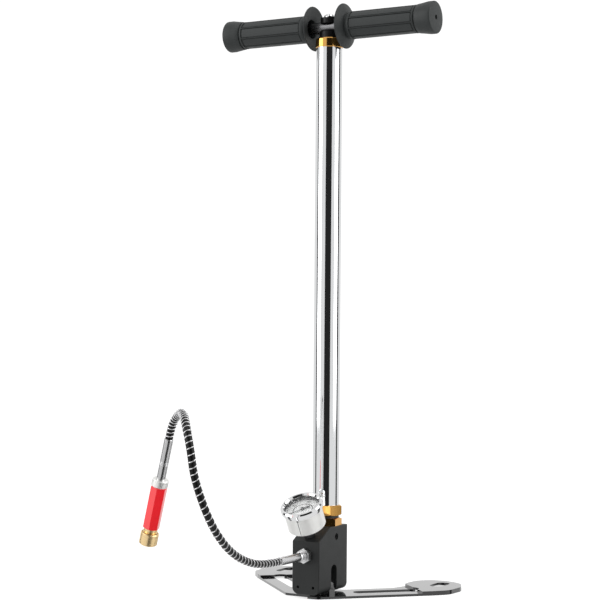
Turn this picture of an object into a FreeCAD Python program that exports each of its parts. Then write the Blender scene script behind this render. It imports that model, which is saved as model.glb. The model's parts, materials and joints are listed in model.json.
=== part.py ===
import FreeCAD, Part
import math
import os
import re

import Sketcher
from FreeCAD import Placement, Rotation, Vector

# A hand-worked stirrup pump for high pressure: a chromed tube that slides over a fixed one, a T handle,
# a valve block with a gauge and a hose, and two foot plates that fold up beside the block.
# Millimetres. The origin is on the column's axis at floor level, with +Z up, the handle along X and the
# gauge at -Y.

SIZES = {
    # column
    "tube_radius": 14,
    "tube_bore": 12.5,
    "tube_low": 94.5,
    "tube_high": 581,
    "inner_radius": 10,
    "inner_bore": 7,
    "inner_low": 58,
    "inner_high": 562,
    "fit_gap": 0.05,
    "nut_flats": 30,
    "gland_high": 81,
    "gland_spigot": 12,
    "gland_low": 61,
    "buffer_high": 83.2,
    "guide_low": 83.5,
    "guide_bore": 11.05,
    "cap_radius": 14.6,
    "cap_high": 591,
    "cap_spigot": 13.5,
    "rod_radius": 4,
    "rod_low": 74,
    "piston_height": 14,
    # handle
    "bar_radius": 6.5,
    "bar_height": 603.5,
    "bar_half": 119.5,
    "grip_start": 18,
    "grip_radius": 14.8,
    "flange_radius": 24,
    "knob_radius": 17,
    "knob_start": 105,
    "grip_end": 125.6,
    "bolt_radius": 3,
    "saddle_wall": 3.3,
    # valve block
    "block_half": 16,
    "block_front": 42.5,
    "block_back": 19.5,
    "block_low": 4.4,
    "block_high": 73,
    "slope_run": 24,
    "slope_rise": 13.3,
    "slot_width": 12.4,
    "slot_centre": 9.9,
    "slot_high": 27,
    "slot_wall": 2.5,
    "gallery_height": 45,
    "gallery_radius": 2,
    "chamber_radius": 3.5,
    "chamber_low": 41,
    "lock_height": 62,
    "lock_centre": 4.7,
    # gauge, along its own axis from the sloped face
    "gauge_tilt": 29,
    "gauge_back": 12.5,
    "case_radius": 20,
    "case_high": 36.5,
    "bezel_radius": 22.5,
    "gauge_face": 40,
    "dial_radius": 18.6,
    "dial_height": 32,
    # hose and its fittings, along their own axes
    "hose_radius": 3.8,
    "hose_nut_flats": 14,
    "hose_nut_length": 5.5,
    "sleeve_radius": 4.4,
    "near_sleeve_length": 49,
    "far_sleeve_length": 42,
    "collar_radius": 8.2,
    "collar_length": 8,
    "barrel_flats": 14.5,
    "barrel_length": 44,
    "coupler_radius": 9,
    "probe_radius": 4,
    "coupler_length": 17,
    "shoulder_height": 5,
    # foot plates
    "plate_thick": 2.5,
    "pad_high": 4.7,
    "right_front": 39.5,
    "right_reach": 0.91,
    "right_shift": 6,
    "left_front": 31,
    "left_reach": 1.05,
    "left_shift": 0,
    "hinge_offset": 9,
    "hinge_height": 12,
    "hinge_radius": 1.5,
    "lug_width": 11.6,
    "lug_radius": 5,
}

# The hose's route, from the near sleeve's end to the far sleeve's end. It leaves level towards -Y, rises,
# and turns over backwards, so that the fitting hangs with its mouth down.
HOSE_ROUTE = [
    (0, -97, 45),
    (0, -125, 45),
    (0, -158, 51),
    (2, -191, 64),
    (4, -220, 84),
    (4, -242, 110),
    (0, -255, 142),
    (2, -263.5, 166),
    (-7, -258, 189),
    (-26, -235, 201),
    (-40.5, -223, 196.5),
    (-50.7, -217.3, 186.5),
    (-55, -215.5, 173),
]

ARC_SHARE = 0.45  # how much of the shorter run an arc takes up

doc = FreeCAD.newDocument("StirrupPump")
sheet = doc.addObject("Spreadsheet::Sheet", "Sizes")
for line, (alias, number) in enumerate(SIZES.items(), 1):
    sheet.set(f"A{line}", alias)
    sheet.set(f"B{line}", str(number))
    sheet.setAlias(f"B{line}", alias)
doc.recompute()

NODES = {}


def size(alias):
    """The value of one cell, for geometry that an expression can't drive."""
    return float(sheet.get(alias))


def cells(text):
    """An expression's text, with each alias written as a reference to the sheet."""
    return re.sub(r"[a-z_]+", lambda m: "Sizes." + m.group() if m.group() in SIZES else m.group(), str(text))


def bind(thing, **sizes):
    for name, text in sizes.items():
        thing.setExpression(name, cells(text))
    return thing


def node(label, thing, place=None):
    """Names a sub-part, puts it in its place and lists it for the export."""
    thing.Label = label
    if place is not None:
        thing.Placement = place
    NODES[label] = thing
    return thing


def along(axis, base=(0, 0, 0)):
    """The placement that stands a piece's own Z along an axis."""
    return Placement(Vector(*base), Rotation(Vector(0, 0, 1), Vector(*axis)))


def at(x=0, y=0, z=0):
    return Placement(Vector(x, y, z), Rotation())


def plane(body, role):
    return next(f for f in body.Origin.OriginFeatures if f.Role == role)


def trace(sketch, outline):
    """Draws a closed polygon and binds each corner's distances from the sketch's axes to the sheet."""
    count = len(outline)
    for i in range(count):
        turns = (Rotation(Vector(0, 0, 1), 360 * k / count) for k in (i, i + 1))
        start, end = (turn.multVec(Vector(40, 0, 0)) for turn in turns)
        sketch.addGeometry(Part.LineSegment(start, end), False)
    for i in range(count):
        sketch.addConstraint(Sketcher.Constraint("Coincident", i, 2, (i + 1) % count, 1))
    for i, corner in enumerate(outline):
        for kind, axis, text in (("DistanceX", -2, corner[0]), ("DistanceY", -1, corner[1])):
            if text == 0:
                sketch.addConstraint(Sketcher.Constraint("PointOnObject", i, 1, axis))
                continue
            number = sketch.addConstraint(Sketcher.Constraint(kind, -1, 1, i, 1, 10.0))
            sketch.setExpression(f"Constraints[{number}]", cells(text))


def sketched(body, name, role, outline):
    sketch = body.newObject("Sketcher::SketchObject", name)
    sketch.AttachmentSupport = (plane(body, role), [""])
    sketch.MapMode = "FlatFace"
    trace(sketch, outline)
    return sketch


def turned(name, outline):
    """A turned piece: a body whose profile, as (radius, height) corners, goes round its own Z."""
    body = doc.addObject("PartDesign::Body", name)
    sketch = sketched(body, name + "_profile", "XZ_Plane", outline)
    turn = body.newObject("PartDesign::Revolution", name + "_turn")
    turn.Profile = sketch
    turn.ReferenceAxis = (sketch, ["V_Axis"])
    turn.Angle = 360
    return body


def ring(name, bore, radius, length):
    return turned(name, [(bore, 0), (radius, 0), (radius, length), (bore, length)])


def padded(name, role, outline, length, both_ways=False):
    """A milled or stamped piece: a body whose outline is padded by a length."""
    body = doc.addObject("PartDesign::Body", name)
    sketch = sketched(body, name + "_outline", role, outline)
    pad = body.newObject("PartDesign::Pad", name + "_pad")
    pad.Profile = sketch
    pad.Midplane = both_ways
    bind(pad, Length=length)
    return body


def cylinder(name, radius, height, place=None):
    tool = doc.addObject("Part::Cylinder", name)
    bind(tool, Radius=radius, Height=height)
    if place is not None:
        tool.Placement = place
    return tool


def box(name, length, width, height, place=None):
    tool = doc.addObject("Part::Box", name)
    bind(tool, Length=length, Width=width, Height=height)
    if place is not None:
        tool.Placement = place
    return tool


def joined(name, *shapes):
    whole = doc.addObject("Part::MultiFuse", name)
    whole.Shapes = list(shapes)
    whole.Refine = True
    return whole


def cut(name, base, *tools):
    whole = doc.addObject("Part::Cut", name)
    whole.Base = base
    whole.Tool = tools[0] if len(tools) == 1 else joined(name + "_tools", *tools)
    whole.Refine = True
    return whole


def hexagon(name, flats, length, low_edge=0.0, high_edge=0.0):
    """A hexagonal bar with its corners turned off at one end or both."""
    bar = doc.addObject("Part::Prism", name + "_bar")
    bar.Polygon = 6
    bind(bar, Circumradius=f"({flats}) / 2 / cos(30)", Height=length)
    corner = f"({flats}) / 2 * 1.2"
    flat = f"({flats}) / 2 - 0.2"
    outline = [(0, 0), (flat, 0)] if low_edge else [(0, 0)]
    outline.append((corner, low_edge * 2 if low_edge else 0))
    outline.append((corner, f"({length}) - {high_edge} * 2"))
    if high_edge:
        outline.append((flat, length))
    outline.append((0, length))
    whole = doc.addObject("Part::Common", name + "_chamfered")
    whole.Base = bar
    whole.Tool = turned(name + "_edges", outline)
    return whole


def spring(coil_radius, wire_radius, length, turns):
    """A coil spring as one swept wire."""
    pitch = length / turns
    helix = Part.makeLongHelix(pitch, length, coil_radius)
    tangent = Vector(0, 2 * math.pi * coil_radius, pitch)
    start = Part.makeCircle(wire_radius, Vector(coil_radius, 0, 0), tangent)
    return Part.Wire(helix.Edges).makePipeShell([Part.Wire(start)], True, True)


def featured(label, shape, place=None):
    """A piece whose shape comes straight from Part's functions."""
    thing = doc.addObject("Part::Feature", label)
    thing.Shape = shape
    return node(label, thing, place)


# ---------------------------------------------------------------- valve block

def valve_block():
    """The block: sloped at the front for the gauge, slotted at the sides for the foot plates' lugs."""
    front, half = size("block_front"), size("block_half")
    blank = padded(
        "block_blank",
        "YZ_Plane",
        [
            (0, "block_low"),
            ("block_front + block_back", "block_low"),
            ("block_front + block_back", "block_high"),
            ("slope_run", "block_high"),
            (0, "block_high - slope_rise"),
        ],
        "2 * block_half",
        both_ways=True,
    )
    blank.Placement = at(y=-front)
    doc.recompute()
    low = size("block_low")
    edges = [
        f"Edge{i}"
        for i, edge in enumerate(blank.Shape.Edges, 1)
        if abs(edge.CenterOfMass.z - low) < 0.01 and abs(abs(edge.CenterOfMass.x) - half) < 0.01
    ]
    rounding = blank.newObject("PartDesign::Fillet", "block_rounding")
    rounding.Base = (blank.Group[-2], edges)
    bind(rounding, Radius="7")
    doc.recompute()
    edges = [
        f"Edge{i}"
        for i, edge in enumerate(blank.Shape.Edges, 1)
        if edge.BoundBox.ZMax > size("hinge_height") and edge.BoundBox.XLength < 0.01
        and abs(abs(edge.CenterOfMass.x) - half) < 0.01
    ]
    bevel = blank.newObject("PartDesign::Chamfer", "block_bevel")
    bevel.Base = (rounding, edges)
    bind(bevel, Size="0.6")
    high, gallery = size("block_high"), size("gallery_height")
    tools = [
        cylinder("gland_port", "gland_spigot + fit_gap", "block_high - gland_low + 2",
                 at(z=size("gland_low") - 2)),
        cylinder("tube_port", "inner_radius + fit_gap", "gland_low - inner_low + 3",
                 at(z=size("inner_low") - 3)),
        cylinder("chamber", "chamber_radius", "block_high - chamber_low", at(z=size("chamber_low"))),
        cylinder("front_gallery", "gallery_radius", "block_front", along((0, -1, 0), (0, 0, gallery))),
        cylinder("hose_port", "hose_nut_flats / 2 - 2.5 + fit_gap", "9",
                 along((0, 1, 0), (0, -front, gallery))),
        cylinder("bleed_gallery", "1.2", "block_back", along((0, 1, 0), (0, 0, gallery))),
        cylinder("bleed_port", "3.05", "10", along((0, -1, 0), (0, size("block_back"), gallery))),
        cylinder("lock_port", "3.6", "block_half",
                 along((1, 0, 0), (11, -size("lock_centre"), size("lock_height")))),
        cylinder("gauge_port", "4.05", "8", gauge_place(-8)),
        cylinder("gauge_gallery", "1", "20", gauge_place(-21)),
    ]
    for side in (-1, 1):
        x = side * size("hinge_offset")
        tools.append(cylinder("hinge_port", "hinge_radius + 0.02", "block_front + 4",
                              along((0, 1, 0), (x, -front, size("hinge_height")))))
        near = size("slot_wall") if side > 0 else -half
        tools.append(box("slot", "block_half - slot_wall", "slot_width", "slot_high - block_low",
                         at(near, -size("slot_centre") - size("slot_width") / 2, low)))
        tools.append(cylinder("slot_top", "slot_width / 2", "block_half - slot_wall",
                              along((1, 0, 0), (near, -size("slot_centre"), size("slot_high")))))
    node("base_block", cut("block", blank, *tools))


def gauge_foot():
    """Where the gauge's axis meets the block's sloped face."""
    tilt = math.radians(size("gauge_tilt"))
    half_run = size("slope_run") / 2
    slope = math.hypot(half_run, size("slope_rise") / 2) - 3.4
    y = -size("block_front") + slope * math.cos(tilt)
    z = size("block_high") - size("slope_rise") + slope * math.sin(tilt)
    return Vector(0, y, z)


def gauge_place(height=0.0):
    """The placement of a piece on the gauge's axis, at a height above the sloped face."""
    turn = Rotation(Vector(1, 0, 0), size("gauge_tilt"))
    return Placement(gauge_foot() + turn.multVec(Vector(0, 0, height)), turn)


def block_fittings():
    """The lock screw, the bleed screw with its seal, and the pins that the foot plates turn on."""
    screw = cut(
        "lock_blank",
        cylinder("lock_thread", "3.55", "2.2"),
        place_tool(hexagon("lock_key", "4", "1.5"), at(z=1)),
    )
    lock_start = (size("gland_spigot") + 0.1, -size("lock_centre"), size("lock_height"))
    node("lock_screw", screw, along((1, 0, 0), lock_start))
    knob = turned(
        "bleed_knob",
        [(0, 0), (1, 0), (2.2, 2), (2.2, 5), (3, 5.4), (3, 13), (4.2, 13.6), (4.2, 15), (6, 16), (6, 27),
         (5, 28.5), (0, 28.5)],
    )
    grooves = []
    for i in range(16):
        angle = 2 * math.pi * i / 16
        x, y = 6.2 * math.cos(angle), 6.2 * math.sin(angle)
        grooves.append(cylinder("knob_groove", "0.5", "9", at(x, y, 17)))
    node("bleed_screw", cut("bleed_blank", knob, *grooves),
         along((0, 1, 0), (0, size("block_back") - 10, size("gallery_height"))))
    node("bleed_seal", ring("bleed_seal_ring", "3", "4", "1.5"),
         along((0, 1, 0), (0, size("block_back") + 0.5, size("gallery_height"))))
    for name, side in (("left_hinge_pin", -1), ("right_hinge_pin", 1)):
        pin = turned(name + "_bar", [(0, 0), ("hinge_radius - 0.3", 0), ("hinge_radius", 0.4),
                                     ("hinge_radius", 38.6), ("hinge_radius - 0.3", 39), (0, 39)])
        node(name, pin, along((0, 1, 0), (side * size("hinge_offset"), -size("block_front") + 4.5,
                                          size("hinge_height"))))


def place_tool(tool, place):
    tool.Placement = place
    return tool


# ---------------------------------------------------------------- column

def fixed_column():
    """What stands on the block: gland nut, inner tube, the piston on its top, and the valve under it."""
    spigot = "block_high - gland_low"
    nut = place_tool(hexagon("gland_hex", "nut_flats", "gland_high - block_high", 0, 0.8),
                     Placement(Vector(0, 0, size("block_high")), Rotation(Vector(0, 0, 1), 35)))
    stem = cylinder("gland_stem", "gland_spigot", spigot, at(z=size("gland_low")))
    bore = cylinder("gland_bore", "inner_radius + fit_gap", "gland_high")
    node("gland_nut", cut("gland_blank", joined("gland_solid", nut, stem), bore))
    node("gland_seal", ring("gland_ring", "inner_radius + fit_gap", "gland_spigot", "2"),
         at(z=size("gland_low") - 2))
    node("inner_tube", ring("inner_pipe", "inner_bore", "inner_radius", "inner_high - inner_low"),
         at(z=size("inner_low")))
    node("buffer_ring", ring("buffer", "inner_radius + fit_gap", "tube_radius", "buffer_high - gland_high"),
         at(z=size("gland_high")))
    head = "tube_bore - 0.2"
    node(
        "first_stage_piston",
        turned(
            "piston_cup",
            [("inner_radius + fit_gap", 0), (head, 0), (head, 5), ("tube_bore - 1.5", 5),
             ("tube_bore - 1.5", 7), (head, 7), (head, 14), ("rod_radius + fit_gap", 14),
             ("rod_radius + fit_gap", 10), ("inner_radius + fit_gap", 10)],
        ),
        at(z=size("inner_high") - 10),
    )
    node("piston_seal", ring("piston_packing", "tube_bore - 1.5", "tube_bore - fit_gap", "2"),
         at(z=size("inner_high") - 5))
    node("rod_seal", ring("rod_packing", "rod_radius + fit_gap", "inner_bore", "5"),
         at(z=size("inner_high") - 5))
    node("valve_seat", ring("seat", "1.6", "inner_radius", "3"), at(z=size("inner_low") - 3))
    ball = doc.addObject("Part::Sphere", "ball")
    bind(ball, Radius="2.5")
    node("valve_ball", ball, at(z=size("inner_low") - 5.05))
    featured("valve_spring", spring(2.2, 0.35, 8.4, 5), at(z=size("chamber_low") + 0.4))


def sliding_tube():
    """What the handle lifts: guide nut, outer tube, top cap, and the rod with the inner piston."""
    nut = place_tool(hexagon("guide_hex", "nut_flats", "tube_low - guide_low", 0.8, 0.8),
                     Placement(Vector(0, 0, size("guide_low")), Rotation(Vector(0, 0, 1), 16)))
    stem = cylinder("guide_stem", "tube_bore - fit_gap", "11.5", at(z=size("tube_low")))
    bore = cylinder("guide_bore_tool", "guide_bore", "tube_low", at(z=size("guide_low") + 0.8))
    lip = cylinder("guide_lip", "inner_radius + 0.3", "2", at(z=size("guide_low") - 0.5))
    node("guide_nut", cut("guide_blank", joined("guide_solid", nut, stem), bore, lip))
    node("wiper_seal", ring("wiper", "inner_radius + 0.06", "guide_bore - 0.1", "2.2"),
         at(z=size("guide_low") + 1.2))
    node("guide_bush", ring("bush", "inner_radius + 0.06", "guide_bore - 0.1", "17"),
         at(z=size("guide_low") + 3.4))
    node("outer_tube", ring("outer_pipe", "tube_bore", "tube_radius", "tube_high - tube_low"),
         at(z=size("tube_low")))
    node(
        "top_cap",
        turned(
            "cap",
            [("bolt_radius + fit_gap", 0), ("tube_bore - fit_gap", 0), ("tube_bore - fit_gap", "cap_spigot"),
             ("cap_radius - 0.5", "cap_spigot"), ("cap_radius", "cap_spigot + 0.5"),
             ("cap_radius", "cap_spigot + 9"), ("cap_radius - 1", "cap_spigot + 10"),
             ("bolt_radius + fit_gap", "cap_spigot + 10")],
        ),
        at(z=size("tube_high") - size("cap_spigot")),
    )
    node(
        "inner_rod",
        turned(
            "rod",
            [(0, 0), ("rod_radius", 0), ("rod_radius", "tube_high - cap_spigot - rod_low"),
             ("bolt_radius", "tube_high - cap_spigot - rod_low"),
             ("bolt_radius", "tube_high - cap_spigot - rod_low + 9"),
             (0, "tube_high - cap_spigot - rod_low + 9")],
        ),
        at(z=size("rod_low")),
    )
    skirt = "inner_bore - 0.1"
    node(
        "rod_piston",
        turned(
            "rod_head",
            [(0, 0), (skirt, 0), (skirt, 4), ("inner_bore - 1.2", 4), ("inner_bore - 1.2", 6), (skirt, 6),
             (skirt, "piston_height"), (0, "piston_height")],
        ),
        at(z=size("rod_low") - size("piston_height")),
    )
    node("rod_piston_seal", ring("rod_ring", "inner_bore - 1.2", "inner_bore - fit_gap", "2"),
         at(z=size("rod_low") - size("piston_height") + 4))


# ---------------------------------------------------------------- handle

def handle():
    """The cross bar between two saddles, the bolt that holds it down, and the two grips."""
    bar_height, bar = size("bar_height"), "bar_radius + fit_gap"
    cross = along((1, 0, 0), (-30, 0, bar_height))
    lower = cylinder("saddle_post", "10.5", "bar_height - cap_high - 5", at(z=size("cap_high")))
    node("lower_saddle", cut("lower_saddle_blank", lower, cylinder("lower_trough", bar, "60", cross),
                             cylinder("lower_bolt_hole", "bolt_radius + fit_gap", "bar_height")))
    upper = cylinder("saddle_top", "9.5", "bar_radius + saddle_wall", at(z=bar_height))
    node("upper_saddle", cut("upper_saddle_blank", upper, cylinder("upper_trough", bar, "60", cross),
                             box("saddle_trim", "30", "30", "4.5", at(-15, -15, bar_height - 0.5)),
                             cylinder("upper_bolt_hole", "bolt_radius + fit_gap", "bar_height + 60")))
    rail = ring("rail_tube", "bar_radius - 2", "bar_radius", "2 * bar_half")
    rail.Placement = along((1, 0, 0), (-size("bar_half"), 0, bar_height))
    hole = cylinder("rail_hole", "bolt_radius + fit_gap", "bar_height + 60")
    node("handle_bar", cut("rail", rail, hole))
    shank = "bar_height + bar_radius + saddle_wall - tube_high + 3"
    node(
        "handle_bolt",
        turned(
            "dome_bolt",
            [(0, 0), ("bolt_radius", 0), ("bolt_radius", shank), (6, shank), (6, shank + " + 1.6"),
             (5.2, shank + " + 3.2"), (3.4, shank + " + 4.4"), (1.6, shank + " + 4.9"), (0, shank + " + 5")],
        ),
        at(z=size("tube_high") - 3),
    )
    grip = [
        ("bar_radius + fit_gap", 3.4), (9.5, 3.4), ("flange_radius - 0.9", 0), ("flange_radius", 0.5),
        ("flange_radius - 0.2", 1.3), ("grip_radius + 3", 4.2), ("grip_radius - 2", 6),
        ("grip_radius - 1", 6.6), ("grip_radius - 0.2", 9), ("grip_radius", 10.6),
        ("grip_radius", "knob_start - grip_start - 1.8"),
        ("grip_radius - 0.8", "knob_start - grip_start - 1.4"),
        ("grip_radius - 0.8", "knob_start - grip_start - 0.4"),
        ("grip_radius + 0.4", "knob_start - grip_start"),
        ("knob_radius", "knob_start - grip_start + 13"),
        ("knob_radius", "grip_end - grip_start - 1.5"), ("knob_radius - 0.6", "grip_end - grip_start - 0.4"),
        ("knob_radius - 1.5", "grip_end - grip_start"), (1.9, "grip_end - grip_start"),
        (1.9, "bar_half - grip_start + 0.5"), ("bar_radius + fit_gap", "bar_half - grip_start + 0.5"),
    ]
    for name, side in (("left_grip", -1), ("right_grip", 1)):
        start = (side * size("grip_start"), 0, bar_height)
        node(name, turned(name + "_rubber", grip), along((side, 0, 0), start))


# ---------------------------------------------------------------- gauge

def gauge():
    """The pressure gauge, from its threaded stem to the bezel over its lens."""
    back, rim = "gauge_back", "case_high - gauge_back"
    hexed = hexagon("stem_hex", "11", back, 0.4, 0.4)
    thread = cylinder("stem_thread", "4", "7.5", at(z=-7.5))
    bore = cylinder("stem_bore", "1", "40", at(z=-10))
    node("gauge_stem", cut("stem_blank", joined("stem_solid", hexed, thread), bore), gauge_place())
    node(
        "gauge_case",
        turned("case_cup", [(1.5, 0), ("case_radius - 1", 0), ("case_radius", 1), ("case_radius", rim),
                            ("case_radius - 1.2", rim), ("case_radius - 1.2", 1.6), (1.5, 1.6)]),
        gauge_place(size("gauge_back")),
    )
    frame = box("movement_frame", "14", "10", "dial_height - gauge_back - 1.6", at(-7, -5, 0))
    node("gauge_movement", cut("movement", frame, cylinder("spindle_hole", "0.9", "20", at(z=5))),
         gauge_place(size("gauge_back") + 1.6))
    tube = doc.addObject("Part::Torus", "tube_arc")
    bind(tube, Radius1="13.5", Radius2="1.8", Angle3="270")
    lead = cylinder("tube_lead", "1.4", "9", at(13.5, 0, -9))
    node("bourdon_tube", joined("tube_solid", tube, lead), gauge_place(size("gauge_back") + 10.6))
    node("gauge_dial", ring("dial_plate", "1.4", "dial_radius", "0.6"), gauge_place(size("dial_height")))
    hub = cylinder("hand_hub", "2", "1.3", at(z=-0.3))
    spindle = cylinder("hand_spindle", "0.8", "14", at(z=-14))
    blade = padded(
        "hand_blade",
        "XY_Plane",
        [(1, 9.5), (1.6, 12), (1.9, 26), (2.1, 26), (2.4, 12), (3, 9.5), (3.2, 4), (2, 2), (0.8, 4)],
        "0.5",
    )
    zero = Rotation(Vector(0, 0, 1), 135)
    blade.Placement = Placement(zero.multVec(Vector(-2, -11, 0)), zero)
    node("gauge_needle", joined("needle", hub, spindle, blade), gauge_place(size("dial_height") + 1.6))
    node("gauge_lens", turned("lens_disc", [(0, 0), ("case_radius", 0), ("case_radius", 1.7), (0, 1.7)]),
         gauge_place(size("case_high")))
    lip = "gauge_face - case_high + 3.5"
    node(
        "gauge_bezel",
        turned(
            "bezel_ring",
            [("case_radius + fit_gap", 0), ("bezel_radius - 1.2", 0), ("bezel_radius - 1.2", 1.6),
             ("bezel_radius", 2.2), ("bezel_radius", lip + " - 1.4"), ("bezel_radius - 1.2", lip),
             ("case_radius - 0.6", lip), ("case_radius - 1.8", lip + " - 1.7"),
             ("case_radius + fit_gap", lip + " - 1.7")],
        ),
        gauge_place(size("case_high") - 3.5),
    )


# ---------------------------------------------------------------- hose

def hose_path(route):
    """Straight runs joined by tangent arcs, each arc as large as its two runs allow."""
    points = [Vector(*p) for p in route]
    runs = [(b - a).Length for a, b in zip(points, points[1:])]
    edges, start = [], points[0]
    for i in range(1, len(points) - 1):
        before = (points[i] - points[i - 1]).normalize()
        after = (points[i + 1] - points[i]).normalize()
        turn = before.getAngle(after)
        reach = ARC_SHARE * min(runs[i - 1], runs[i])
        radius = reach / math.tan(turn / 2)
        first, last = points[i] - before * reach, points[i] + after * reach
        inward = (after - before).normalize()
        middle = points[i] + inward * (radius / math.cos(turn / 2) - radius)
        edges.append(Part.LineSegment(start, first).toShape())
        edges.append(Part.Arc(first, middle, last).toShape())
        start = last
        print(f"hose bend {i}: {math.degrees(turn):.0f} degrees, radius {radius:.1f} mm")
    edges.append(Part.LineSegment(start, points[-1]).toShape())
    return Part.Wire(edges)


def hose():
    """The free hose. Gives the placement of a piece on its last run, at a distance beyond its end."""
    path = hose_path(HOSE_ROUTE)
    radius = size("hose_radius")
    start, end = Vector(*HOSE_ROUTE[0]), Vector(*HOSE_ROUTE[-1])
    section = Part.Wire(Part.makeCircle(radius, start, Vector(*HOSE_ROUTE[1]) - start))
    tube = path.makePipeShell([section], True, False)
    wanted = math.pi * radius**2 * path.Length
    print(f"hose {path.Length:.0f} mm long, volume {tube.Volume:.0f} of {wanted:.0f} mm3")
    featured("hose", tube)
    axis = (end - Vector(*HOSE_ROUTE[-2])).normalize()
    turn = Rotation(Vector(0, 0, 1), axis)
    return lambda height: Placement(end + axis * height, turn)


def near_fitting():
    """The nut that screws into the block's front, and the crimped sleeve that the hose comes out of."""
    front = Vector(0, -size("block_front"), size("gallery_height"))
    upright = Placement(Vector(), Rotation(Vector(0, 0, 1), 30))
    nut = place_tool(hexagon("outlet_hex", "hose_nut_flats", "hose_nut_length", 0, 0.6), upright)
    stem = cylinder("outlet_stem", "hose_nut_flats / 2 - 2.5", "8.5", at(z=-8.5))
    bore = cylinder("outlet_bore", "2", "30", at(z=-9))
    node("hose_nut", cut("outlet_blank", joined("outlet_solid", nut, stem), bore), along((0, -1, 0), front))
    length = "near_sleeve_length"
    node(
        "near_sleeve",
        turned("near_crimp", [(1.5, 0), ("sleeve_radius + 0.4", 0), ("sleeve_radius + 0.4", 9),
                              ("sleeve_radius", 10), ("sleeve_radius", length + " - 0.6"),
                              ("sleeve_radius - 0.5", length), (1.5, length)]),
        along((0, -1, 0), front - Vector(0, size("hose_nut_length"), 0)),
    )


def far_fitting(place):
    """The sleeve, collar, filter barrel and quick coupler that hang from the hose's far end."""
    length = "far_sleeve_length"
    node(
        "far_sleeve",
        turned("far_crimp", [(1.5, 0), ("sleeve_radius - 0.5", 0), ("sleeve_radius", 0.6),
                             ("sleeve_radius", length), (1.5, length)]),
        place(0),
    )
    height = size(length)
    node(
        "far_collar",
        turned("collar", [(1.5, 0), ("collar_radius - 1", 0), ("collar_radius", 1),
                          ("collar_radius", "collar_length - 1"), ("collar_radius - 1", "collar_length"),
                          (1.5, "collar_length")]),
        place(height),
    )
    height += size("collar_length")
    bar = hexagon("barrel_hex", "barrel_flats", "barrel_length", 0.5, 0.5)
    hollow = cylinder("barrel_hollow", "5", "barrel_length - 8", at(z=4))
    passage = cylinder("barrel_passage", "1.5", "barrel_length + 2", at(z=-1))
    upright = place(height)
    upright.Rotation = upright.Rotation * Rotation(Vector(0, 0, 1), 25.5)
    node("filter_barrel", cut("barrel", bar, hollow, passage), upright)
    node("filter_element", ring("element", "1.5", "4.9", "barrel_length - 8"), place(height + 4))
    coupler(place, height + size("barrel_length"))


def coupler(place, height):
    """The quick coupler: a body with locking balls, and the sprung sleeve that frees them."""
    ball_height = size("coupler_length") - 4
    body = turned(
        "coupler_core",
        [(1.5, 0), (6.8, 0), (6.8, 2), (5.6, 2.6), (5.6, "shoulder_height - 0.8"),
         (7.3, "shoulder_height - 0.8"), (7.3, "shoulder_height"), (6.2, "shoulder_height"),
         (6.2, "coupler_length - 0.4"), (5.8, "coupler_length"), ("probe_radius", "coupler_length"),
         ("probe_radius", "shoulder_height"), (1.5, "shoulder_height")],
    )
    groove = ring("seal_groove", "probe_radius - 0.5", "probe_radius + 1.2", "1.8")
    groove.Placement = at(z=6.5)
    holes, balls = [], []
    for i in range(4):
        angle = math.pi * i / 2
        x, y = math.cos(angle), math.sin(angle)
        holes.append(cylinder(f"ball_hole_{i}", "1.2", "8", along((x, y, 0), (0, 0, ball_height))))
        ball = doc.addObject("Part::Sphere", f"locking_ball_{i}")
        bind(ball, Radius="1.1")
        ball.Placement = at(5.1 * x, 5.1 * y, ball_height)
        balls.append(ball)
    node("coupler_body", cut("coupler_blank", body, groove, *holes), place(height))
    group = doc.addObject("Part::Compound", "ball_group")
    group.Links = balls
    node("coupler_balls", group, place(height))
    seal = doc.addObject("Part::Torus", "seal_torus")
    bind(seal, Radius1="probe_radius + 0.65", Radius2="0.5")
    node("coupler_seal", seal, place(height + 7.4))
    inside, length = "coupler_radius - 1.2", "coupler_length - shoulder_height + 0.5"
    shell = turned(
        "coupler_shell",
        [(6.3, 4.4), (inside, 4.4), (inside, 0), ("coupler_radius - 0.8", 0), ("coupler_radius", 0.8),
         ("coupler_radius", length + " - 0.9"), ("coupler_radius - 1", length), (6.3, length)],
    )
    shoulder = height + size("shoulder_height")
    node("coupler_sleeve", shell, place(shoulder - 0.5))
    featured("coupler_spring", spring(6.9, 0.25, 3.3, 2.5), place(shoulder + 0.3))


# ---------------------------------------------------------------- foot plates

def corners_of(body, wanted):
    """The names of a plate's upright edges that stand on the wanted corners of its outline."""
    return [
        f"Edge{i}"
        for i, edge in enumerate(body.Shape.Edges, 1)
        if abs(edge.tangentAt(edge.FirstParameter).z) > 0.99
        and any(math.hypot(edge.CenterOfMass.x - x, edge.CenterOfMass.y - y) < 0.1 for x, y in wanted)
    ]


def rounded_plate(name, outline, sharp, radius, height):
    """A plate with its outline's corners rounded, all but the sharp ones."""
    body = padded(name, "XY_Plane", outline, height)
    doc.recompute()
    fillet = body.newObject("PartDesign::Fillet", name + "_corners")
    fillet.Base = (body.Group[-2], corners_of(body, [p for p in outline if p not in sharp]))
    bind(fillet, Radius=radius)
    return body


def obround(name, length, width, height, place):
    """A slot-shaped cutter, centred on its placement, with its length along its own X."""
    half = (length - width) / 2
    parts = [box(name + "_middle", 2 * half, width, height, at(-half, -width / 2, 0))]
    for end in (-half, half):
        parts.append(cylinder(name + "_end", width / 2, height, at(end, 0, 0)))
    whole = joined(name, *parts)
    whole.Placement = place
    return whole


def strip_points(points, reach, shift):
    """Points given along and across a plate's strip, as x and y. The strip runs back at 45 degrees."""
    turn = math.sqrt(0.5)
    return [((reach * a + c - shift) * turn, (reach * a - c + shift) * turn) for a, c in points]


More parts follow.
